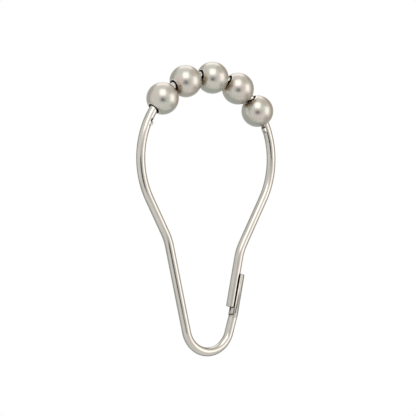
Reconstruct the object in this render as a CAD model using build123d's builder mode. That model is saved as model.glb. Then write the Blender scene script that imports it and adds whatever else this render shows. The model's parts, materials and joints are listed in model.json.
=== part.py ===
"""Shower curtain ring: a sprung wire loop that carries a row of roller balls.

Millimetres. The ring stands in the XZ plane, +Z up and -Y to the front.
The origin is the centre of the eye that the curtain rod passes through.
The clasp, where the wire's end lies in a pressed trough, is on the +X side.
"""

import os
from math import asin, atan2, cos, hypot, radians, sin, sqrt, tan

from build123d import *

# Wire
wire_diameter = 2.5

# Rod eye: the arc at the top, and the wider arcs that carry on from it
eye_radius = 20.13
eye_half_angle = 36.0
shoulder_radius = 23.85
limb_lean = 28.4

# Hook: the narrow loop at the bottom, which the curtain hangs in
hook_radius = 7.29
hook_drop = 49.64
hook_offset = 0.32
far_lean = 13.1
clasp_lean = 16.5
waist_radius = 14.4

# Clasp: a trough pressed into one end of the wire, and the other end in it
trough_lean = 11.5
trough_rise = 5.3
trough_blend = 1.2
trough_length = 11.5
trough_floor = 1.3
trough_corner = 0.25
lip_height = 0.75
lip_wall = 0.13
groove_clearance = 0.12
latch_gap = 1.85
latch_corner = 0.2

# Roller balls: hollow beads, threaded on the wire
ball_count = 5
ball_diameter = 9.0
ball_wall = 0.45
ball_hole_clearance = 0.42
ball_rim_round = 0.15
ball_gap = 0.08
row_lean = 5.3

# Stops: nibs staked up from the wire's inner side, a little to the front, one past each end of the row
stop_length = 1.75
stop_height = 0.5
stop_width = 1.3
stop_round = 0.12
stop_turn = 20.0
nick_length = 0.75
nick_depth = 0.35
clasp_side_play = 0.95
far_side_play = 3.55

# Sizes that follow from the ones above
wire_radius = wire_diameter / 2
groove_radius = wire_radius + groove_clearance
latch_offset = groove_radius + trough_floor - wire_radius
lip_tip = wire_radius - trough_floor - lip_height
trough_half = sqrt(lip_height * (2 * groove_radius - lip_height)) + lip_wall
trough_side_start = wire_radius - trough_half
ball_radius = ball_diameter / 2
ball_hole_radius = wire_radius + ball_hole_clearance
ball_bore_half = sqrt(ball_radius**2 - ball_hole_radius**2)
ball_circle = sqrt(eye_radius**2 - ball_bore_half**2)
bore_arc = eye_radius * asin(ball_bore_half / eye_radius)
rim_circle = ball_circle - ball_hole_radius
ball_step = 2 * (atan2(ball_bore_half, rim_circle) + asin(ball_gap / 2 / hypot(rim_circle, ball_bore_half)))
ball_pitch = eye_radius * ball_step
row_middle = eye_radius * radians(row_lean)
row_half = ball_pitch * (ball_count - 1) / 2 + bore_arc


def meeting_point(point, lean, other_point, other_lean):
    """Where two lines in the ring's plane cross, each given by a point and its lean from vertical."""
    slope = tan(radians(lean))
    other_slope = tan(radians(other_lean))
    run = other_point[0] - point[0] + point[1] * slope - other_point[1] * other_slope
    height = run / (slope - other_slope)
    return (point[0] + (height - point[1]) * slope, height)


def shoulder_centre(side):
    """Centre of the shoulder arc on one side, tangent to the eye arc where the two meet."""
    apart = shoulder_radius - eye_radius
    angle = radians(eye_half_angle)
    return (-side * apart * sin(angle), -apart * cos(angle))


def shoulder_foot(side):
    """Lower end of a shoulder arc, where the straight limb leaves it."""
    centre = shoulder_centre(side)
    angle = radians(limb_lean)
    return (centre[0] + side * shoulder_radius * cos(angle), centre[1] - shoulder_radius * sin(angle))


def hook_foot(side, lean):
    """Where a lower limb of that lean leaves the bend at the bottom."""
    angle = radians(lean)
    return (hook_offset + side * hook_radius * cos(angle), -hook_drop - hook_radius * sin(angle))


def limb_plane(point, lean, rise=0.0, inset=0.0):
    """Plane across a clasp-side limb through a point: its X points out of the ring, its Z up the limb."""
    angle = radians(lean)
    out = Vector(cos(angle), 0, -sin(angle))
    up = Vector(sin(angle), 0, cos(angle))
    return Plane(origin=Vector(point[0], 0, point[1]) + up * rise - out * inset, x_dir=out, z_dir=up)


def in_ring(plane):
    """A plane's origin, as a point in the ring's plane."""
    return (plane.origin.X, plane.origin.Z)


# Planes across the clasp's limb, from the bend up to the free end of the wire
blend_plane = limb_plane(hook_foot(1, clasp_lean), clasp_lean, trough_rise - trough_blend)
trough_foot = in_ring(limb_plane(hook_foot(1, clasp_lean), clasp_lean, trough_rise))
trough_plane = limb_plane(trough_foot, trough_lean)
latch_plane = limb_plane(trough_foot, trough_lean, latch_gap, latch_offset)

# Centreline of the wire, from the free end in the clasp round to the foot of the trough
clasp_waist = meeting_point(shoulder_foot(1), limb_lean, in_ring(latch_plane), trough_lean)
far_waist = meeting_point(shoulder_foot(-1), -limb_lean, hook_foot(-1, far_lean), -far_lean)
shoulder_sweep = 90 + limb_lean - eye_half_angle
hook_sweep = 180 - far_lean - clasp_lean

with BuildLine(Plane.XZ) as centreline:
    clasp_limb = FilletPolyline(in_ring(latch_plane), clasp_waist, shoulder_foot(1), radius=waist_radius)
    clasp_shoulder = CenterArc(shoulder_centre(1), shoulder_radius, -limb_lean, shoulder_sweep)
    eye_arc = CenterArc((0, 0), eye_radius, 90 - eye_half_angle, 2 * eye_half_angle)
    CenterArc(shoulder_centre(-1), shoulder_radius, 90 + eye_half_angle, shoulder_sweep)
    FilletPolyline(shoulder_foot(-1), far_waist, hook_foot(-1, far_lean), radius=waist_radius)
    CenterArc((hook_offset, -hook_drop), hook_radius, 180 + far_lean, hook_sweep)
    Line(hook_foot(1, clasp_lean), in_ring(blend_plane))

wire_path = centreline.wire()
eye_top = clasp_limb.length + clasp_shoulder.length + eye_arc.length / 2


def on_ring(distance):
    """Point on the centreline, by its distance along the wire from the eye's top to the clasp side."""
    return wire_path.position_at(eye_top - distance, PositionMode.LENGTH)


def stop_plane(distance):
    """Plane along the wire at a stop: X points away from the row of balls, Y the way the stop stands."""
    side = 1 if distance > row_middle else -1
    away = on_ring(distance + side * stop_length) - on_ring(distance)
    unturned = Plane(origin=on_ring(distance), x_dir=away, z_dir=(0, side, 0))
    return unturned * Rot(X=-side * stop_turn)


# Outline of the pressed limb: round on the outside, with straight sides up to its lips
with BuildSketch() as trough_outline:
    with BuildLine():
        ThreePointArc((trough_side_start, -trough_half), (wire_radius, 0), (trough_side_start, trough_half))
        Polyline(
            (trough_side_start, trough_half),
            (lip_tip, trough_half),
            (lip_tip, -trough_half),
            (trough_side_start, -trough_half),
        )
    make_face()

# Wire ring: one wire, with its trough pressed and its stops staked
stops = (row_middle + row_half + clasp_side_play, row_middle - row_half - far_side_play)

with BuildPart() as wire_ring:
    with BuildSketch(trough_plane):
        add(trough_outline.sketch_local)
        with Locations((-latch_offset, 0)):
            Circle(groove_radius, mode=Mode.SUBTRACT)
    extrude(amount=trough_length)
    trough_top = wire_ring.faces().sort_by(Axis.Z)[-1]
    fillet(trough_top.edges().sort_by(Axis.X)[-1], trough_corner)
    with BuildSketch(blend_plane):
        Circle(wire_radius)
    with BuildSketch(trough_plane):
        add(trough_outline.sketch_local)
    loft()
    with BuildSketch(latch_plane):
        Circle(wire_radius)
    sweep(path=wire_path)
    latch_face = wire_ring.faces().filter_by(GeomType.PLANE).sort_by_distance(latch_plane.origin)[0]
    fillet(latch_face.edges(), latch_corner)
    for distance in stops:
        with BuildSketch(stop_plane(distance)) as nib:
            with BuildLine():
                Polyline(
                    (0, 0),
                    (0, wire_radius + stop_height),
                    (stop_length / 2, wire_radius + stop_height),
                    (stop_length, wire_radius - stop_height),
                    (stop_length, 0),
                    close=True,
                )
            make_face()
            fillet(nib.vertices().group_by(Axis.Y)[-1], stop_round)
        extrude(amount=stop_width / 2, both=True)
        with BuildSketch(stop_plane(distance)):
            with BuildLine():
                Polyline(
                    (0, wire_radius - nick_depth),
                    (0, wire_radius + stop_height),
                    (-nick_length, wire_radius + stop_height),
                    (-nick_length, wire_radius),
                    close=True,
                )
            make_face()
        extrude(amount=stop_width / 2, both=True, mode=Mode.SUBTRACT)

wire_ring.part.label = "wire_ring"

os.makedirs("parts", exist_ok=True)
export_step(wire_ring.part, "parts/wire_ring.step")

# Roller balls, from the far side of the ring to the clasp side
for number in range(1, ball_count + 1):
    middle = row_middle + ball_pitch * (number - (ball_count + 1) / 2)
    bore_start = on_ring(middle - bore_arc)
    bore_end = on_ring(middle + bore_arc)
    seat = Plane(origin=(bore_start + bore_end) / 2, x_dir=(0, 1, 0), z_dir=bore_end - bore_start)
    with BuildPart(seat) as roller_ball:
        Sphere(ball_radius)
        Sphere(ball_radius - ball_wall, mode=Mode.SUBTRACT)
        Cylinder(ball_hole_radius, ball_diameter, mode=Mode.SUBTRACT)
        rims = roller_ball.edges().filter_by(GeomType.CIRCLE).group_by(Axis(seat.origin, seat.z_dir))
        fillet(rims[0] + rims[-1], ball_rim_round)
    roller_ball.part.label = f"roller_ball_{number}"
    export_step(roller_ball.part, f"parts/roller_ball_{number}.step")
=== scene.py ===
"""Shower curtain ring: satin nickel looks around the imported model.

The frame is the model's own, in metres: the origin is on the rod's axis, +Z is up and -Y is the front.
Lengths below are in millimetres and angles in degrees, and MM takes a length to metres.
"""

import bmesh
import bpy
import json
from math import acos, asin, atan2, cos, degrees, hypot, pi, radians, sin, sqrt, tan

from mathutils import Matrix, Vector, noise


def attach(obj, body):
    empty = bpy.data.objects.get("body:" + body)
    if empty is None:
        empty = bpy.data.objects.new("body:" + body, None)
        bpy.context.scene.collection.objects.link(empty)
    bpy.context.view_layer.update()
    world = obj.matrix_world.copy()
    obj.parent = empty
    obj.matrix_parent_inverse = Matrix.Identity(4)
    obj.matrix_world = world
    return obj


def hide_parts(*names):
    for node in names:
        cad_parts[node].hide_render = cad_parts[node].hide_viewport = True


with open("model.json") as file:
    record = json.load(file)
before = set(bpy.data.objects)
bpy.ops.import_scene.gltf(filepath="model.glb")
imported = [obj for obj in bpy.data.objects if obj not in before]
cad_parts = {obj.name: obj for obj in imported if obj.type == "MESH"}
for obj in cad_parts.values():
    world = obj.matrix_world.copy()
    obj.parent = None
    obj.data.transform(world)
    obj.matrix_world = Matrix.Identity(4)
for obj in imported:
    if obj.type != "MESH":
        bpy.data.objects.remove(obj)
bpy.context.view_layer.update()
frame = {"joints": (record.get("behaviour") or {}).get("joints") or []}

MM = 0.001

# Camera, worked out from the photograph: level, in front of the ring and off to the side without the clasp
VIEW_AZIMUTH = -33.0
VIEW_POINT = (-0.18, 0.0, -16.79)
VIEW_SHIFT = 0.418
VIEW_DISTANCE = 669.3
SENSOR = 36.0
LENS = 207.7
CLIP_START = 10.0
CLIP_END = 20000.0

# Wire, with the sizes that the model's own source has
WIRE_RADIUS = 1.25
EYE_RADIUS = 20.13
EYE_HALF_ANGLE = 36.0
SHOULDER_RADIUS = 23.85
LIMB_LEAN = 28.4
HOOK_RADIUS = 7.29
HOOK_DROP = 49.64
HOOK_OFFSET = 0.32
FAR_LEAN = 13.1
CLASP_LEAN = 16.5
WAIST_RADIUS = 14.4

# Clasp, with the source's sizes too: the latch is the wire's free end, which lies in the trough's groove
TROUGH_LEAN = 11.5
TROUGH_RISE = 5.3
TROUGH_BLEND = 1.2
TROUGH_LENGTH = 11.5
TROUGH_FLOOR = 1.3
TROUGH_CORNER = 0.25
LIP_HEIGHT = 0.75
LIP_WALL = 0.13
GROOVE_CLEARANCE = 0.12
LATCH_GAP = 1.85
LATCH_CORNER = 0.2

# What the press left on the clasp: lips that are higher at the trough's foot than at its top, a groove that
# runs out below the foot, a flat on the free end where it is seated, and long marks on the outer side
LIP_RISE_FOOT = 0.03
LIP_RISE_TOP = -0.14
GROOVE_LEAD = 0.4
GROOVE_RUN_OUT = 0.14
SEAT_FLAT = 0.22
SEAT_SPREAD = 84.0
SEAT_RAMP = 0.3
SEAT_FADE = 1.5
MARK_DEPTH = 0.02
MARK_ACROSS = 1.7
MARK_ALONG = 0.16
MARK_SEED = 3.0

# Stops on the wire's inner side, turned a little to the front: as low, shallow and round as they look,
# where the source has them higher and deeper, so that a ball can't pass
STOP_LENGTH = 1.75
STOP_HEIGHT = 0.34
STOP_WIDTH = 1.3
STOP_ROUND = 0.2
STOP_TURN = 20.0
NICK_LENGTH = 0.75
NICK_DEPTH = 0.22
CLASP_SIDE_PLAY = 0.95
FAR_SIDE_PLAY = 3.55

# Balls, with the source's sizes apart from a slightly larger round on their rims
BALL_RADIUS = 4.5
BALL_WALL = 0.45
BALL_HOLE_CLEARANCE = 0.42
BALL_RIM_ROUND = 0.2
BALL_GAP = 0.08
ROW_LEAN = 5.3

# How finely the wire is divided along its length: fine steps reach some nick lengths before a stop's face
# and some stop lengths past it
STEP_PLAIN = 0.5
STEP_FINE = 0.08
NICK_MARGIN = 1.5
STOP_MARGIN = 1.1
LATCH_STEPS = 5

# How a section is divided from its outer side round: over the outer side, the flank, the lip and the groove
SECTION_COUNTS = (12, 6, 4, 10)
SECTION_ANGLES = (84.0, 28.0, 10.0, 58.0)

# How a ball is divided, around its bore and along its section, and from what angle on an edge is sharp
BALL_TURNS = 96
OUTER_STEPS = 28
RIM_STEPS = 6
INNER_STEPS = 14
SHARP_ANGLE = 40.0

# Colours of the finish
WIRE_PALE = (0.62, 0.59, 0.54, 1.0)
WIRE_DEEP = (0.55, 0.52, 0.47, 1.0)
WIRE_EDGE = (0.5, 0.5, 0.48, 1.0)
PRESSED = (0.44, 0.425, 0.395, 1.0)
TARNISH = (0.16, 0.145, 0.12, 1.0)
# Near black for painted shade: in the clasp, at the stops' nicks and inside the balls
PAINTED_SHADE_BLACK = (0.012, 0.01, 0.008, 1.0)
BALL_PALE = (0.592, 0.562, 0.502, 1.0)
BALL_DEEP = (0.532, 0.5, 0.446, 1.0)
BALL_ROSY = (0.6, 0.515, 0.468, 1.0)
BALL_GREENISH = (0.535, 0.545, 0.485, 1.0)
BALL_TINT = 0.6
# Brown for painted shade and reflection where a ball meets another
BALL_MEETING_SHADE = (0.33, 0.25, 0.17, 1.0)
# Pale for a ball's bare rims, which also carry a painted highlight
BALL_WORN_HIGHLIT = (0.78, 0.75, 0.71, 1.0)

# Grain of the finish: noise scales per metre, along the wire and across it or all ways over a ball,
# how detailed the noise is and what range of it is used
DRAWN_LINES = (90.0, 7000.0, 7000.0)
WIRE_PATCHES = (260.0, 500.0, 500.0)
PRESS_STREAKS = (140.0, 2600.0, 2600.0)
BALL_GRAIN = (9000.0, 9000.0, 9000.0)
BALL_PATCHES = (600.0, 600.0, 600.0)
BALL_CLOUDS = (300.0, 300.0, 300.0)
NOISE_DETAIL = 3.0
GRAIN_DETAIL = 2.0
CLOUD_DETAIL = 1.0
NOISE_RANGE = (0.3, 0.7)
CLOUD_RANGE = (0.35, 0.65)
SCUFF_RANGE = (0.46, 0.60)
SCUFF = 0.9

# Roughness and relief: what pressing and the painted shade add to the wire's roughness, and wear takes off
# a ball's
WIRE_ROUGHNESS = (0.10, 0.17)
PRESS_ROUGHNESS = 0.22
SHADE_ROUGHNESS = 0.6
BALL_ROUGHNESS = (0.26, 0.31)
WEAR_POLISH = 0.12
WIRE_RELIEF = 0.12
BALL_RELIEF = 0.15
RELIEF_DEPTH = 0.004

# Painted shade and reflection round a ball's holes where it meets another, on the ring's outer and inner
# side, and its bare rims with a painted highlight
MEET_SHADE_OUTER = 0.1
MEET_SHADE_INNER = 0.95
MEET_SHADE_WIDTH = 1.9
RIM_WEAR_HIGHLIGHT_WIDTH = 0.25

# Painted shade in the clasp, from 0 for none to 1 for black: on the free end's seat, in the groove under
# it, at the open groove's foot, sides and bottom, and along a crease on each flank of the trough
SEAT_SHADE = 0.97
SEAT_SHADE_MARGIN = 14.0
SEAT_SHADE_RAMP = 10.0
GROOVE_SHADE = 0.85
COVER_SHADE_LENGTH = 0.6
FOOT_SHADE_LENGTH = 1.0
SIDE_SHADE_START = 0.68
SIDE_SHADE_AT_FOOT = 0.4
BOTTOM_SHADE_END = 0.06
SHADE_RAMP = 0.15
CREASE_SHADE = 0.95
CREASE_SPREAD = 1.5
CREASE_START = 0.5
CREASE_FULL = 1.6
CREASE_FADE = 5.0

# Painted shade at the stops, clasp side first: a nick's shade at its start and at the stop's face, how far
# it spreads past the stop's front, and a paler painted shade on the foot of the stop's slope
NICK_SHADES = ((0.1, 0.5), (0.85, 0.95))
NICK_SHADE_SPREADS = (0.0, 0.46)
STOP_FOOT_START = 1.15
STOP_FOOT_END = 1.65
STOP_FOOT_SHADE = 0.4

# Studio: a lamp's level or a card's colour is what the metal mirrors, where 1 is the white background
WHITE = (1.0, 1.0, 1.0)
AMBIENT = 0.8
FLOOR_LEVEL = -86.0
FLOOR_RADIUS = 120.0
FLOOR_FADE = 60.0
FLOOR_TURNS = 64
FLOOR_COLOUR = (0.95, 0.945, 0.925, 1.0)
FLOOR_ROUGHNESS = 0.9
LAMP_DISTANCE = 900.0
CARD_DISTANCE = 500.0
CAMERA_CARD_DISTANCE = 490.0

# Lamps: name, degrees right of the camera, degrees up, width, height, level and colour
LAMPS = (
    ("key", 2.0, 42.0, 600.0, 720.0, 1.2, (0.98, 1.0, 1.0)),
    ("warm_side", 74.0, 4.0, 530.0, 640.0, 0.92, (1.0, 0.93, 0.86)),
    ("top_back", 180.0, 58.0, 700.0, 560.0, 0.62, WHITE),
)

# Cards: name, degrees right of the camera, degrees up, width, height, distance and colour
CARDS = (
    ("camera_side", 3.0, -10.5, 220.0, 200.0, CAMERA_CARD_DISTANCE, (0.05, 0.06, 0.07)),
    ("camera_shade", 6.0, -8.0, 560.0, 350.0, CARD_DISTANCE, (0.74, 0.745, 0.75)),
    ("left_back", -130.0, 0.0, 720.0, 1050.0, CARD_DISTANCE, (0.60, 0.62, 0.58)),
    ("right_back", 138.0, 0.0, 520.0, 1050.0, CARD_DISTANCE, (0.58, 0.53, 0.46)),
    ("upper_right", 80.0, 52.0, 420.0, 330.0, CARD_DISTANCE, (0.80, 0.78, 0.72)),
    ("lower_right", 94.0, -40.0, 300.0, 260.0, CARD_DISTANCE, (0.58, 0.55, 0.50)),
)

# Mat: a card that lies just over the floor, from its start to its end out along a bearing
MAT_BEARING = -166.0
MAT_START = 6.0
MAT_END = 240.0
MAT_WIDTH = 480.0
MAT_LIFT = 2.0
MAT_COLOUR = (0.57, 0.61, 0.59)

# Sizes that follow
GROOVE_RADIUS = WIRE_RADIUS + GROOVE_CLEARANCE
LATCH_OFFSET = GROOVE_RADIUS + TROUGH_FLOOR - WIRE_RADIUS
LIP_TIP = WIRE_RADIUS - TROUGH_FLOOR - LIP_HEIGHT
LIP_PRESS_LENGTH = 2 * LATCH_GAP
GROOVE_HALF = sqrt(LIP_HEIGHT * (2 * GROOVE_RADIUS - LIP_HEIGHT))
TROUGH_HALF = GROOVE_HALF + LIP_WALL
SEAT_ANGLE = acos((LATCH_OFFSET + LIP_TIP) / WIRE_RADIUS) + radians(SEAT_SHADE_MARGIN)
SEAT_LENGTH = TROUGH_LENGTH - LATCH_GAP
FLANK_MIDDLE = SECTION_COUNTS[0] + SECTION_COUNTS[1] // 2
CREASE_STEP = FLANK_MIDDLE - 1
LIP_STEP = sum(SECTION_COUNTS[:2])
GROOVE_STEP = sum(SECTION_COUNTS[:3])
BALL_HOLE_RADIUS = WIRE_RADIUS + BALL_HOLE_CLEARANCE
BALL_BORE_HALF = sqrt(BALL_RADIUS**2 - BALL_HOLE_RADIUS**2)


def smooth(value):
    """An even step from 0 to 1."""
    value = min(max(value, 0.0), 1.0)
    return value * value * (3 - 2 * value)


def mix(low, high, share):
    return low + (high - low) * share


def heading(lean):
    """Unit vector in the ring's plane that points up, leaning by an angle to +X."""
    return Vector((sin(radians(lean)), cos(radians(lean))))


def straight(start, end):
    """A straight stretch of the centreline: its length, and its point and heading by distance."""
    run = end - start
    return run.length, lambda d: (start + run.normalized() * d, run.normalized())


def bend(centre, radius, start, sweep):
    """A round stretch of the centreline, from one angle through a sweep."""
    turn = 1 if sweep > 0 else -1

    def at(d):
        angle = radians(start) + turn * d / radius
        out = Vector((cos(angle), sin(angle)))
        return centre + out * radius, Vector((-out.y, out.x)) * turn

    return radius * radians(abs(sweep)), at


def corner(start, apex, end, radius):
    """Two straight stretches joined by a round one."""
    first = (apex - start).normalized()
    second = (end - apex).normalized()
    sweep = degrees(atan2(first.x * second.y - first.y * second.x, first.dot(second)))
    turn = 1 if sweep > 0 else -1
    reach = radius * tan(radians(abs(sweep)) / 2)
    inward = Vector((-first.y, first.x)) * turn
    centre = apex - first * reach + inward * radius
    return [
        straight(start, apex - first * reach),
        bend(centre, radius, degrees(atan2(-inward.y, -inward.x)), sweep),
        straight(apex + second * reach, end),
    ]


def meeting_point(point, lean, other_point, other_lean):
    """Where two leaning lines cross."""
    way = heading(lean)
    other_way = heading(other_lean)
    gap = other_point - point
    share = (gap.x * other_way.y - gap.y * other_way.x) / (way.x * other_way.y - way.y * other_way.x)
    return point + way * share


def shoulder_centre(side):
    """Centre of the shoulder's arc on one side, tangent to the eye's arc where the two meet."""
    apart = SHOULDER_RADIUS - EYE_RADIUS
    angle = radians(EYE_HALF_ANGLE)
    return Vector((-side * apart * sin(angle), -apart * cos(angle)))


def shoulder_foot(side):
    """Lower end of a shoulder's arc, where the straight limb leaves it."""
    angle = radians(LIMB_LEAN)
    return shoulder_centre(side) + Vector((side * cos(angle), -sin(angle))) * SHOULDER_RADIUS


def hook_foot(side, lean):
    """Where a lower limb of that lean leaves the bend at the bottom."""
    angle = radians(lean)
    return Vector((HOOK_OFFSET, -HOOK_DROP)) + Vector((side * cos(angle), -sin(angle))) * HOOK_RADIUS


# Places along the clasp's limb, from the bend up to the free end
CLASP_FOOT = hook_foot(1, CLASP_LEAN)
BLEND_START = CLASP_FOOT + heading(CLASP_LEAN) * (TROUGH_RISE - TROUGH_BLEND)
TROUGH_FOOT = CLASP_FOOT + heading(CLASP_LEAN) * TROUGH_RISE
TROUGH_OUT = Vector((heading(TROUGH_LEAN).y, -heading(TROUGH_LEAN).x))
LATCH_END = TROUGH_FOOT + heading(TROUGH_LEAN) * LATCH_GAP - TROUGH_OUT * LATCH_OFFSET

# The stretches of the wire, from the free end in the clasp round to the start of the trough's blend
CLASP_WAIST = meeting_point(shoulder_foot(1), LIMB_LEAN, LATCH_END, TROUGH_LEAN)
FAR_FOOT = hook_foot(-1, FAR_LEAN)
FAR_WAIST = meeting_point(shoulder_foot(-1), -LIMB_LEAN, FAR_FOOT, -FAR_LEAN)
SHOULDER_SWEEP = 90 + LIMB_LEAN - EYE_HALF_ANGLE
HOOK_CENTRE = Vector((HOOK_OFFSET, -HOOK_DROP))
TO_EYE = [
    *corner(LATCH_END, CLASP_WAIST, shoulder_foot(1), WAIST_RADIUS),
    bend(shoulder_centre(1), SHOULDER_RADIUS, -LIMB_LEAN, SHOULDER_SWEEP),
]
EYE = bend(Vector((0.0, 0.0)), EYE_RADIUS, 90 - EYE_HALF_ANGLE, 2 * EYE_HALF_ANGLE)
FROM_EYE = [
    bend(shoulder_centre(-1), SHOULDER_RADIUS, 90 + EYE_HALF_ANGLE, SHOULDER_SWEEP),
    *corner(shoulder_foot(-1), FAR_WAIST, FAR_FOOT, WAIST_RADIUS),
    bend(HOOK_CENTRE, HOOK_RADIUS, 180 + FAR_LEAN, 180 - FAR_LEAN - CLASP_LEAN),
    straight(CLASP_FOOT, BLEND_START),
]
STRETCHES = [*TO_EYE, EYE, *FROM_EYE]
WIRE_LENGTH = sum(length for length, _ in STRETCHES)
EYE_TOP = sum(length for length, _ in TO_EYE) + EYE[0] / 2


def on_wire(distance):
    """Point and heading at a distance from the free end."""
    for length, at in STRETCHES[:-1]:
        if distance <= length:
            return at(distance)
        distance -= length
    return STRETCHES[-1][1](distance)


def stop_places():
    """Each stop's working face by distance from the free end, and the way along the wire from the balls."""
    rim_circle = sqrt(EYE_RADIUS**2 - BALL_BORE_HALF**2) - BALL_HOLE_RADIUS
    half_gap = asin(BALL_GAP / 2 / hypot(rim_circle, BALL_BORE_HALF))
    ball_step = 2 * (atan2(BALL_BORE_HALF, rim_circle) + half_gap)
    row_half = ball_step * (len(frame["joints"]) - 1) / 2 + asin(BALL_BORE_HALF / EYE_RADIUS)
    row_middle = radians(ROW_LEAN)
    return [
        (EYE_TOP - EYE_RADIUS * (row_middle + row_half) - CLASP_SIDE_PLAY, -1),
        (EYE_TOP - EYE_RADIUS * (row_middle - row_half) + FAR_SIDE_PLAY, 1),
    ]


STOPS = stop_places()


def stations():
    """Distances of the wire's rings: fine at the free end and at the stops, plain elsewhere."""
    ends = [LATCH_CORNER, 2 * LATCH_CORNER, WIRE_LENGTH]
    for place, away in STOPS:
        ends += [place - away * NICK_MARGIN * NICK_LENGTH, place + away * STOP_MARGIN * STOP_LENGTH]
    ends.sort()
    found = []
    for number, (start, end) in enumerate(zip(ends, ends[1:])):
        count = max(1, round((end - start) / (STEP_PLAIN if number % 2 else STEP_FINE)))
        found += [mix(start, end, i / count) for i in range(count)]
    return [*found, WIRE_LENGTH]


def section_angles():
    """Angles of a ring's points from its outer side round: one half by stretches, then its mirror."""
    half = [0.0]
    for count, sweep in zip(SECTION_COUNTS, SECTION_ANGLES):
        half += [half[-1] + sweep * i / count for i in range(1, count + 1)]
    return [radians(a) for a in half + [360 - a for a in reversed(half[1:-1])]]


# A ring's points: their angles, their steps from the outer side, and the round wire's section, which like
# every section gives each point's distance out of the loop and across it
ANGLES = section_angles()
STEPS = [min(i, len(ANGLES) - i) for i in range(len(ANGLES))]
ROUND_SECTION = [(WIRE_RADIUS * cos(a), WIRE_RADIUS * sin(a)) for a in ANGLES]


def seated_section(distance):
    """A round section, pressed a little flat on the side that lies in the trough."""
    depth = SEAT_FLAT * smooth((SEAT_LENGTH - distance) / SEAT_FADE)
    points = []
    for a in ANGLES:
        radius = WIRE_RADIUS - depth * smooth((cos(a) - cos(radians(SEAT_SPREAD))) / SEAT_RAMP)
        points.append((radius * cos(a), radius * sin(a)))
    return points


def trough_section(rise, groove, inset):
    """The pressed limb's section: groove goes from 0, none, to 1, and inset rounds off its outer side."""
    outer, flank, lip, floor = SECTION_COUNTS
    half = TROUGH_HALF - inset
    base = WIRE_RADIUS - TROUGH_HALF
    wall = LIP_WALL / 2
    top = LIP_TIP + wall - mix(LIP_RISE_FOOT, LIP_RISE_TOP, rise / TROUGH_LENGTH)
    points = []
    for i in range(outer + 1):
        angle = radians(90 * i / outer)
        points.append((base + half * cos(angle), half * sin(angle)))
    for i in range(1, flank + 1):
        points.append((mix(base, top, i / flank), mix(half, TROUGH_HALF, i / flank)))
    for i in range(1, lip + 1):
        angle = pi * i / lip
        points.append((top - wall * sin(angle), TROUGH_HALF - wall + wall * cos(angle)))
    for i in range(1, floor + 1):
        angle = asin(GROOVE_HALF / GROOVE_RADIUS) * (1 - i / floor)
        pressed = GROOVE_RADIUS * cos(angle) - LATCH_OFFSET
        points.append((mix(top, pressed, groove), GROOVE_RADIUS * sin(angle)))
    return points + [(a, -b) for a, b in reversed(points[1:-1])]


def marked(section, rise, depth):
    """A pressed section with the long marks that the press leaves on its outer side and flanks."""
    found = []
    for i, (a, b) in enumerate(section):
        place = Vector((i * MARK_ACROSS, rise * MARK_ALONG, MARK_SEED))
        mark = noise.noise(place) * depth if STEPS[i] < LIP_STEP else 0.0
        found.append((a + mark * cos(ANGLES[i]), b + mark * sin(ANGLES[i])))
    return found


def stop_height(along):
    """Height of the wire's skin over its axis at a stop, by distance past its working face."""
    if along < -NICK_LENGTH or along >= STOP_LENGTH:
        return None
    if along < 0:
        return WIRE_RADIUS - NICK_DEPTH * (along + NICK_LENGTH) / NICK_LENGTH
    slope = max(0.0, 2 * along / STOP_LENGTH - 1)
    edge = STOP_ROUND * (1 - sqrt(1 - max(0.0, 1 - along / STOP_ROUND) ** 2))
    return WIRE_RADIUS + STOP_HEIGHT * (1 - 2 * slope) - edge


def stop_axes(a, b):
    """A section's point in a stop's own axes: how far up the way it stands, and how far to its front."""
    turn = radians(STOP_TURN)
    return -a * cos(turn) - b * sin(turn), a * sin(turn) - b * cos(turn)


def staked_section(distance):
    """A section of the drawn wire, with its seat pressed, a stop's nib raised or its nick cut."""
    points = seated_section(distance)
    turn = radians(STOP_TURN)
    for place, away in STOPS:
        along = (distance - place) * away
        height = stop_height(along)
        if height is None:
            continue
        for i, (a, b) in enumerate(points):
            rise, side = stop_axes(a, b)
            if rise > 0 and abs(side) <= STOP_WIDTH / 2:
                rise = min(rise, height) if along < 0 else max(rise, height)
                points[i] = (side * sin(turn) - rise * cos(turn), -rise * sin(turn) - side * cos(turn))
    return points


def stop_shade(angle, distance):
    """How much shade is painted on the wire by a stop: in its nick and a little to the front of it, and on
    its slope.
    """
    rise, side = stop_axes(WIRE_RADIUS * cos(angle), WIRE_RADIUS * sin(angle))
    for (place, away), (start, face), shade_spread in zip(STOPS, NICK_SHADES, NICK_SHADE_SPREADS):
        along = (distance - place) * away
        if rise < 0 or not -STOP_WIDTH / 2 <= side <= STOP_WIDTH / 2 + shade_spread:
            continue
        if -NICK_LENGTH <= along < STOP_ROUND:
            return mix(face, start, max(0.0, -along / NICK_LENGTH))
        if STOP_FOOT_START <= along <= STOP_FOOT_END:
            return STOP_FOOT_SHADE
    return 0.0


def drawn_shade(distance):
    """How much shade is painted on each point of a drawn ring: where it lies in the trough, and by the
    stops.
    """
    if distance >= SEAT_LENGTH:
        return [stop_shade(a, distance) for a in ANGLES]
    ramp = radians(SEAT_SHADE_RAMP)
    return [SEAT_SHADE * smooth((SEAT_ANGLE - acos(cos(a))) / ramp) for a in ANGLES]


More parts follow.
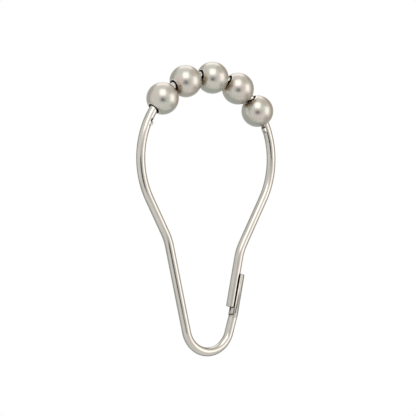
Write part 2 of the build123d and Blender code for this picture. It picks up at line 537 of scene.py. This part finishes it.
def trough_shade(section, rise, groove):
    """How much shade is painted on each point of a pressed ring.

    The groove is painted dark all over under the free end, and elsewhere at its foot, sides and bottom.
    The outer side has painted shade along a crease on each flank.
    """
    covered = smooth((rise - LATCH_GAP) / COVER_SHADE_LENGTH)
    foot = 1 - smooth((rise + GROOVE_LEAD) / FOOT_SHADE_LENGTH)
    side_share = mix(SIDE_SHADE_AT_FOOT, 1.0, smooth(rise / LATCH_GAP))
    crease = CREASE_SHADE * smooth(rise / CREASE_START) * (1 - smooth((rise - CREASE_FULL) / CREASE_FADE))
    found = []
    for step, (_, b) in zip(STEPS, section):
        if step < GROOVE_STEP:
            found.append(crease * max(0.0, 1 - abs(step - CREASE_STEP) / CREASE_SPREAD))
            continue
        across = abs(b) / GROOVE_HALF
        side = smooth((across - SIDE_SHADE_START) / SHADE_RAMP) * side_share
        bottom = 1 - smooth((across - BOTTOM_SHADE_END) / SHADE_RAMP)
        found.append(mix(GROOVE_SHADE * max(side, foot, bottom), 1.0, covered) * groove)
    return found


def trough_press(press, rise):
    """How pressed each point of a ring is: its outer side, and its lips less and less up from the foot."""
    lip = press * (1 - smooth(rise / LIP_PRESS_LENGTH))
    found = []
    for step in STEPS:
        if step <= FLANK_MIDDLE:
            found.append(press)
        elif step < GROOVE_STEP:
            found.append(lip)
        else:
            found.append(0.0)
    return found


def drawn_rings():
    """Rings of the drawn wire, from the free end to the blend.

    Each has its point, heading, section, distance along the wire, press and painted shade.
    """
    rings = []
    unpressed = [0.0] * len(ANGLES)
    point, along = on_wire(0.0)
    for i in range(LATCH_STEPS):
        angle = radians(90 * i / LATCH_STEPS)
        rise = LATCH_CORNER * (1 - cos(angle))
        shrink = 1 - LATCH_CORNER * (1 - sin(angle)) / WIRE_RADIUS
        section = [(a * shrink, b * shrink) for a, b in seated_section(rise)]
        rings.append((point + along * rise, along, section, rise, unpressed, drawn_shade(rise)))
    for distance in stations():
        section = staked_section(distance)
        rings.append((*on_wire(distance), section, distance, unpressed, drawn_shade(distance)))
    return rings


def blend_rings():
    """Rings of the same kind, where the round wire turns into the trough."""
    rings = []
    count = round(TROUGH_BLEND / STEP_FINE)
    for i in range(1, count + 1):
        share = smooth(i / count)
        rise = TROUGH_BLEND * (i / count - 1)
        groove = smooth((rise + GROOVE_LEAD) / GROOVE_RUN_OUT)
        pairs = zip(ROUND_SECTION, trough_section(0.0, groove, 0.0))
        section = [(mix(p[0], q[0], share), mix(p[1], q[1], share)) for p, q in pairs]
        point = BLEND_START.lerp(TROUGH_FOOT, i / count)
        along = heading(mix(CLASP_LEAN, TROUGH_LEAN, i / count))
        distance = WIRE_LENGTH + TROUGH_BLEND + rise
        shade = trough_shade(section, rise, groove)
        rings.append((point, along, section, distance, trough_press(share, 0.0), shade))
    return rings


def trough_rings():
    """Rings of the same kind, from the trough's foot to its top."""
    rings = []
    along = heading(TROUGH_LEAN)
    count = round(TROUGH_LENGTH / STEP_FINE)
    for i in range(1, count + 1):
        rise = TROUGH_LENGTH * i / count
        left = max(0.0, 1 - (TROUGH_LENGTH - rise) / TROUGH_CORNER)
        plain = trough_section(rise, 1.0, TROUGH_CORNER * (1 - sqrt(1 - left**2)))
        section = marked(plain, rise, MARK_DEPTH * smooth(rise / TROUGH_BLEND))
        distance = WIRE_LENGTH + TROUGH_BLEND + rise
        shade = trough_shade(section, rise, 1.0)
        rings.append((TROUGH_FOOT + along * rise, along, section, distance, trough_press(1.0, rise), shade))
    return rings


def new_object(name, points, faces):
    """A smooth mesh with its faces turned outwards, linked to the scene."""
    mesh = bpy.data.meshes.new(name)
    mesh.from_pydata(points, [], faces)
    shell = bmesh.new()
    shell.from_mesh(mesh)
    bmesh.ops.recalc_face_normals(shell, faces=shell.faces)
    shell.to_mesh(mesh)
    shell.free()
    mesh.shade_smooth()
    mesh.set_sharp_from_angle(angle=radians(SHARP_ANGLE))
    thing = bpy.data.objects.new(name, mesh)
    bpy.context.scene.collection.objects.link(thing)
    return thing


def bridge(first, second, count):
    """Quads between two closed rings, by the numbers of their first points."""
    return [
        (first + i, first + (i + 1) % count, second + (i + 1) % count, second + i)
        for i in range(count)
    ]


def keep(thing, name, values):
    """Keeps a number for each point of a mesh, for the finish to read."""
    thing.data.attributes.new(name, "FLOAT", "POINT").data.foreach_set("value", values)


def make_wire():
    """The wire as one skin, with its place along the straight wire, press and painted shade kept for the
    finish.
    """
    rings = [*drawn_rings(), *blend_rings(), *trough_rings()]
    count = len(ANGLES)
    points = []
    straightened = []
    pressed = []
    painted_shade = []
    for point, along, section, distance, press, shade in rings:
        points += [Vector((point.x + along.y * a, b, point.y - along.x * a)) * MM for a, b in section]
        for a, b in ROUND_SECTION:
            straightened += [distance * MM, a * MM, b * MM]
        pressed += press
        painted_shade += shade
    last = (len(rings) - 1) * count
    faces = [tuple(range(count)), tuple(range(last, last + count))]
    for number in range(len(rings) - 1):
        faces += bridge(number * count, (number + 1) * count, count)
    wire = new_object("wire", points, faces)
    places = wire.data.attributes.new("straightened", "FLOAT_VECTOR", "POINT")
    places.data.foreach_set("vector", straightened)
    keep(wire, "pressed", pressed)
    keep(wire, "painted_shade", painted_shade)
    return wire


def rim_angle():
    """Angle between the bore's axis and the start of a hole's rounded rim."""
    return asin((BALL_HOLE_RADIUS + BALL_RIM_ROUND) / (BALL_RADIUS - BALL_RIM_ROUND))


def ball_profile():
    """Half of a ball's section, as each point's distance from the bore's axis and along it.

    It runs from the ball's middle over the outer skin and the rim, and back over the inner skin.
    """
    rim_start = rim_angle()
    rim_out = (BALL_RADIUS - BALL_RIM_ROUND) * sin(rim_start)
    rim_up = (BALL_RADIUS - BALL_RIM_ROUND) * cos(rim_start)
    inner_radius = BALL_RADIUS - BALL_WALL
    inner_angle = asin(BALL_HOLE_RADIUS / inner_radius)
    points = []
    for i in range(OUTER_STEPS + 1):
        angle = mix(pi / 2, rim_start, i / OUTER_STEPS)
        points.append((BALL_RADIUS * sin(angle), BALL_RADIUS * cos(angle)))
    for i in range(1, RIM_STEPS + 1):
        angle = mix(rim_start, -pi / 2, i / RIM_STEPS)
        points.append((rim_out + BALL_RIM_ROUND * sin(angle), rim_up + BALL_RIM_ROUND * cos(angle)))
    for i in range(INNER_STEPS + 1):
        angle = mix(inner_angle, pi / 2, i / INNER_STEPS)
        points.append((inner_radius * sin(angle), inner_radius * cos(angle)))
    return points


def out_of_rim(step):
    """Distance over a ball's skin from the rim of its hole, by steps from its middle."""
    return BALL_RADIUS * (pi / 2 - rim_angle()) * max(0.0, 1 - step / OUTER_STEPS)


def meets_ball(joint, way):
    """Whether a ball has a neighbour on one side."""
    beyond = Vector(joint["pos_m"]) + way * 2 * BALL_RADIUS * MM
    return any((Vector(other["pos_m"]) - beyond).length < BALL_RADIUS * MM for other in frame["joints"])


def shade_where_balls_meet(joint, bore, ways, from_rim):
    """How much shade and reflection is painted on each point of a ball: by the holes that face another
    ball, most towards the rod.
    """
    size = len(from_rim)
    met = [meets_ball(joint, bore if 2 * i < size else -bore) for i in range(size)]
    ring = [1 - smooth(away / MEET_SHADE_WIDTH) if meets else 0.0 for away, meets in zip(from_rim, met)]
    inward = -Vector(joint["pos_m"]).normalized()
    meeting_shade = []
    for way in ways:
        level = mix(MEET_SHADE_OUTER, MEET_SHADE_INNER, smooth(way.dot(inward) / 2 + 0.5))
        meeting_shade += [level * share for share in ring]
    return meeting_shade


def make_ball(joint):
    """One hollow ball, turned about its bore, with its inside, its rims and the painted shade by other
    balls kept for the finish.
    """
    half = ball_profile()
    profile = half + [(out, -up) for out, up in reversed(half[1:-1])]
    size = len(profile)
    bore = Vector(joint["axis"]).normalized()
    front = Vector((0.0, -1.0, 0.0))
    side = bore.cross(front)
    turns = [2 * pi * turn / BALL_TURNS for turn in range(BALL_TURNS)]
    ways = [front * cos(angle) + side * sin(angle) for angle in turns]
    points = []
    faces = []
    for turn, way in enumerate(ways):
        points += [(way * out + bore * up) * MM for out, up in profile]
        faces += bridge(turn * size, (turn + 1) % BALL_TURNS * size, size)
    ball = new_object(joint["child"], points, faces)
    skin = OUTER_STEPS + RIM_STEPS // 2
    inside = [1.0 if skin < i < size - skin else 0.0 for i in range(size)]
    from_rim = [out_of_rim(min(i, size - i)) for i in range(size)]
    worn_highlit = [1 - min(1.0, away / RIM_WEAR_HIGHLIGHT_WIDTH) for away in from_rim]
    keep(ball, "inside", inside * BALL_TURNS)
    keep(ball, "worn_highlit", worn_highlit * BALL_TURNS)
    keep(ball, "meeting_shade", shade_where_balls_meet(joint, bore, ways, from_rim))
    ball.location = joint["pos_m"]
    return ball


def node(tree, kind, inputs=None, **properties):
    """A new node, with its inputs set or linked by name or number."""
    made = tree.nodes.new(kind)
    for name, value in properties.items():
        setattr(made, name, value)
    for name, value in (inputs or {}).items():
        if isinstance(value, bpy.types.NodeSocket):
            tree.links.new(value, made.inputs[name])
        else:
            made.inputs[name].default_value = value
    return made


def nickel(name):
    """A metal material with its node tree and shader."""
    material = bpy.data.materials.new(name)
    material.use_nodes = True
    shader = material.node_tree.nodes["Principled BSDF"]
    shader.inputs["Metallic"].default_value = 1.0
    return material, material.node_tree, shader


def kept(tree, name, output="Fac"):
    """What a mesh keeps for its points under that name."""
    return node(tree, "ShaderNodeAttribute", attribute_name=name).outputs[output]


def speckle(tree, place, scale, detail=NOISE_DETAIL):
    """Noise from 0 to 1 over a place, with its scale along each axis."""
    spread = node(tree, "ShaderNodeVectorMath", {0: place, 1: scale}, operation="MULTIPLY").outputs[0]
    inputs = {"Vector": spread, "Scale": 1.0, "Detail": detail}
    return node(tree, "ShaderNodeTexNoise", inputs).outputs["Fac"]


def ranged(tree, value, low, high, limits=NOISE_RANGE):
    """A value's range between two limits, taken to low and high."""
    start, end = limits
    inputs = {"Value": value, "From Min": start, "From Max": end, "To Min": low, "To Max": high}
    return node(tree, "ShaderNodeMapRange", inputs).outputs["Result"]


def blended(tree, factor, first, second):
    """A colour between two, by a factor."""
    return node(tree, "ShaderNodeMix", {0: factor, 6: first, 7: second}, data_type="RGBA").outputs[2]


def scaled(tree, value, factor):
    return node(tree, "ShaderNodeMath", {0: value, 1: factor}, operation="MULTIPLY").outputs[0]


def summed(tree, value, other):
    return node(tree, "ShaderNodeMath", {0: value, 1: other}, operation="ADD").outputs[0]


def relief(tree, height, strength):
    """A surface raised a little by a height."""
    inputs = {"Height": height, "Strength": strength, "Distance": RELIEF_DEPTH * MM}
    return node(tree, "ShaderNodeBump", inputs).outputs["Normal"]


def wire_finish():
    """Drawn wire under nickel: fine lines along it, scuffs where it was pressed, and painted shade in its
    corners.
    """
    material, tree, shader = nickel("nickel_wire")
    shader.inputs["Specular Tint"].default_value = WIRE_EDGE
    place = kept(tree, "straightened", "Vector")
    press = kept(tree, "pressed")
    shade = kept(tree, "painted_shade")
    drawn = speckle(tree, place, DRAWN_LINES)
    patches = speckle(tree, place, WIRE_PATCHES)
    streaks = speckle(tree, place, PRESS_STREAKS)
    plain = blended(tree, ranged(tree, patches, 0.0, 1.0), WIRE_PALE, WIRE_DEEP)
    flattened = blended(tree, press, plain, PRESSED)
    scuffs = scaled(tree, ranged(tree, streaks, 0.0, SCUFF, SCUFF_RANGE), press)
    scuffed = blended(tree, scuffs, flattened, TARNISH)
    dulled = summed(tree, scaled(tree, press, PRESS_ROUGHNESS), scaled(tree, shade, SHADE_ROUGHNESS))
    roughness = summed(tree, dulled, ranged(tree, drawn, *WIRE_ROUGHNESS))
    # Painted shade: the clasp's seat, groove and creases and the stops' nicks darken towards near black
    tree.links.new(blended(tree, shade, scuffed, PAINTED_SHADE_BLACK), shader.inputs["Base Color"])
    tree.links.new(roughness, shader.inputs["Roughness"])
    tree.links.new(relief(tree, drawn, WIRE_RELIEF), shader.inputs["Normal"])
    return material


def ball_finish():
    """Tumbled beads under satin nickel: grain, patches, clouds, painted shade and reflection where they
    meet, bare rims with a painted highlight and painted shade inside.
    """
    material, tree, shader = nickel("nickel_ball")
    inner = node(tree, "ShaderNodeTexCoord").outputs["Object"]
    centre = node(tree, "ShaderNodeObjectInfo").outputs["Location"]
    place = node(tree, "ShaderNodeVectorMath", {0: inner, 1: centre}).outputs[0]
    rim_wear_and_highlight = kept(tree, "worn_highlit")
    grain = speckle(tree, place, BALL_GRAIN, GRAIN_DETAIL)
    patches = speckle(tree, place, BALL_PATCHES)
    clouds = speckle(tree, place, BALL_CLOUDS, CLOUD_DETAIL)
    plain = blended(tree, ranged(tree, patches, 0.0, 1.0), BALL_PALE, BALL_DEEP)
    tint = blended(tree, ranged(tree, clouds, 0.0, 1.0, CLOUD_RANGE), BALL_ROSY, BALL_GREENISH)
    tinted = blended(tree, BALL_TINT, plain, tint)
    # Painted shade and reflection round the holes where balls meet
    meeting_shade = blended(tree, kept(tree, "meeting_shade"), tinted, BALL_MEETING_SHADE)
    # Paler bare rims: wear, and a painted highlight
    worn_highlit = blended(tree, rim_wear_and_highlight, meeting_shade, BALL_WORN_HIGHLIT)
    roughness = summed(tree, ranged(tree, patches, *BALL_ROUGHNESS), scaled(tree, rim_wear_and_highlight, -WEAR_POLISH))
    # Near-black painted shade inside each ball
    tree.links.new(blended(tree, kept(tree, "inside"), worn_highlit, PAINTED_SHADE_BLACK), shader.inputs["Base Color"])
    tree.links.new(roughness, shader.inputs["Roughness"])
    tree.links.new(relief(tree, grain, BALL_RELIEF), shader.inputs["Normal"])
    return material


def view_axes():
    """The camera's right, and the way from the ring to the camera."""
    turn = radians(VIEW_AZIMUTH)
    return Vector((cos(turn), sin(turn), 0.0)), Vector((sin(turn), -cos(turn), 0.0))


def make_camera():
    right, back = view_axes()
    data = bpy.data.cameras.new("camera")
    data.sensor_width = SENSOR
    data.lens = LENS
    data.clip_start = CLIP_START * MM
    data.clip_end = CLIP_END * MM
    camera = bpy.data.objects.new("camera", data)
    camera.location = (Vector(VIEW_POINT) + right * VIEW_SHIFT + back * VIEW_DISTANCE) * MM
    camera.rotation_mode = "QUATERNION"
    camera.rotation_quaternion = (-back).to_track_quat("-Z", "Y")
    bpy.context.scene.collection.objects.link(camera)
    bpy.context.scene.camera = camera


def seen_rays(tree):
    """1 where the camera, metal or glass looks, and 0 where light is only spread."""
    rays = node(tree, "ShaderNodeLightPath").outputs
    seen = summed(tree, rays["Is Camera Ray"], rays["Is Glossy Ray"])
    clear = node(tree, "ShaderNodeMath", {0: seen, 1: rays["Is Transmission Ray"]}, use_clamp=True)
    return clear.outputs[0]


def make_world():
    """White to the camera and in the metal, and a softer light on the floor."""
    world = bpy.data.worlds.new("studio")
    world.use_nodes = True
    tree = world.node_tree
    white = tree.nodes["Background"]
    white.inputs["Color"].default_value = (*WHITE, 1.0)
    soft = node(tree, "ShaderNodeBackground", {"Color": (*WHITE, 1.0), "Strength": AMBIENT})
    seen = seen_rays(tree)
    chosen = node(tree, "ShaderNodeMixShader", {0: seen, 1: soft.outputs[0], 2: white.outputs[0]})
    tree.links.new(chosen.outputs[0], tree.nodes["World Output"].inputs["Surface"])
    bpy.context.scene.world = world


def bearing_way(bearing, rise):
    """Unit vector from the ring, by degrees to the right of the camera and above the horizon."""
    right, back = view_axes()
    level = back * cos(radians(bearing)) + right * sin(radians(bearing))
    return level * cos(radians(rise)) + Vector((0.0, 0.0, sin(radians(rise))))


def softbox(name, bearing, rise, width, height, level, colour):
    """A soft lamp that faces the ring, as bright in the metal as its level."""
    data = bpy.data.lights.new(name, "AREA")
    data.shape = "RECTANGLE"
    data.size = width * MM
    data.size_y = height * MM
    data.color = colour
    data.energy = level * pi * data.size * data.size_y
    lamp = bpy.data.objects.new(name, data)
    way = bearing_way(bearing, rise)
    lamp.location = way * LAMP_DISTANCE * MM
    lamp.rotation_mode = "QUATERNION"
    lamp.rotation_quaternion = way.to_track_quat("Z", "Y")
    lamp.visible_camera = False
    bpy.context.scene.collection.objects.link(lamp)


def card(name, corners, colour):
    """A flat studio card, seen only in the metal."""
    flat = new_object(name, [c * MM for c in corners], [(0, 1, 2, 3)])
    material = bpy.data.materials.new(name)
    material.use_nodes = True
    tree = material.node_tree
    glow = node(tree, "ShaderNodeEmission", {"Color": (*colour, 1.0)})
    tree.links.new(glow.outputs[0], tree.nodes["Material Output"].inputs["Surface"])
    flat.data.materials.append(material)
    flat.visible_camera = False
    flat.visible_diffuse = False
    flat.visible_shadow = False


def facing_corners(bearing, rise, width, height, distance):
    """Corners of a card that faces the ring."""
    way = bearing_way(bearing, rise)
    turn = way.to_track_quat("Z", "Y")
    signs = ((-1, -1), (1, -1), (1, 1), (-1, 1))
    return [way * distance + turn @ Vector((x * width / 2, y * height / 2, 0.0)) for x, y in signs]


def mat_corners():
    """Corners of the mat, round from one end of its start."""
    out = bearing_way(MAT_BEARING, 0.0)
    side = Vector((-out.y, out.x, 0.0)) * MAT_WIDTH / 2
    middle = Vector((0.0, 0.0, FLOOR_LEVEL + MAT_LIFT))
    reaches = ((MAT_START, -1), (MAT_START, 1), (MAT_END, 1), (MAT_END, -1))
    return [middle + out * reach + side * sign for reach, sign in reaches]


def make_floor():
    """A pale round floor that fades out towards its edge."""
    turns = [2 * pi * i / FLOOR_TURNS for i in range(FLOOR_TURNS)]
    points = [Vector((cos(a) * FLOOR_RADIUS, sin(a) * FLOOR_RADIUS, FLOOR_LEVEL)) * MM for a in turns]
    floor = new_object("floor", points, [tuple(range(FLOOR_TURNS))])
    material = bpy.data.materials.new("floor")
    material.use_nodes = True
    tree = material.node_tree
    shader = tree.nodes["Principled BSDF"]
    shader.inputs["Base Color"].default_value = FLOOR_COLOUR
    shader.inputs["Roughness"].default_value = FLOOR_ROUGHNESS
    place = node(tree, "ShaderNodeTexCoord").outputs["Object"]
    level = {0: place, 1: (1.0, 1.0, 0.0)}
    flat = node(tree, "ShaderNodeVectorMath", level, operation="MULTIPLY").outputs[0]
    reach = node(tree, "ShaderNodeVectorMath", {0: flat}, operation="LENGTH").outputs["Value"]
    fade = ranged(tree, reach, 0.0, 1.0, (FLOOR_FADE * MM, FLOOR_RADIUS * MM))
    share = scaled(tree, fade, seen_rays(tree))
    clear = node(tree, "ShaderNodeBsdfTransparent").outputs[0]
    faded = node(tree, "ShaderNodeMixShader", {0: share, 1: shader.outputs[0], 2: clear})
    tree.links.new(faded.outputs[0], tree.nodes["Material Output"].inputs["Surface"])
    floor.data.materials.append(material)


make_camera()
make_world()
for lamp in LAMPS:
    softbox(*lamp)
for name, bearing, rise, width, height, distance, colour in CARDS:
    card(name, facing_corners(bearing, rise, width, height, distance), colour)
card("mat", mat_corners(), MAT_COLOUR)
make_floor()

wire = make_wire()
wire.data.materials.append(wire_finish())
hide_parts("wire_ring")
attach(wire, "ring")

satin = ball_finish()
for number, joint in enumerate(frame["joints"], start=1):
    ball = make_ball(joint)
    ball.data.materials.append(satin)
    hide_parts(f"roller_ball_{number}")
    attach(ball, joint["child"])

bpy.context.scene.view_settings.view_transform = "Standard"
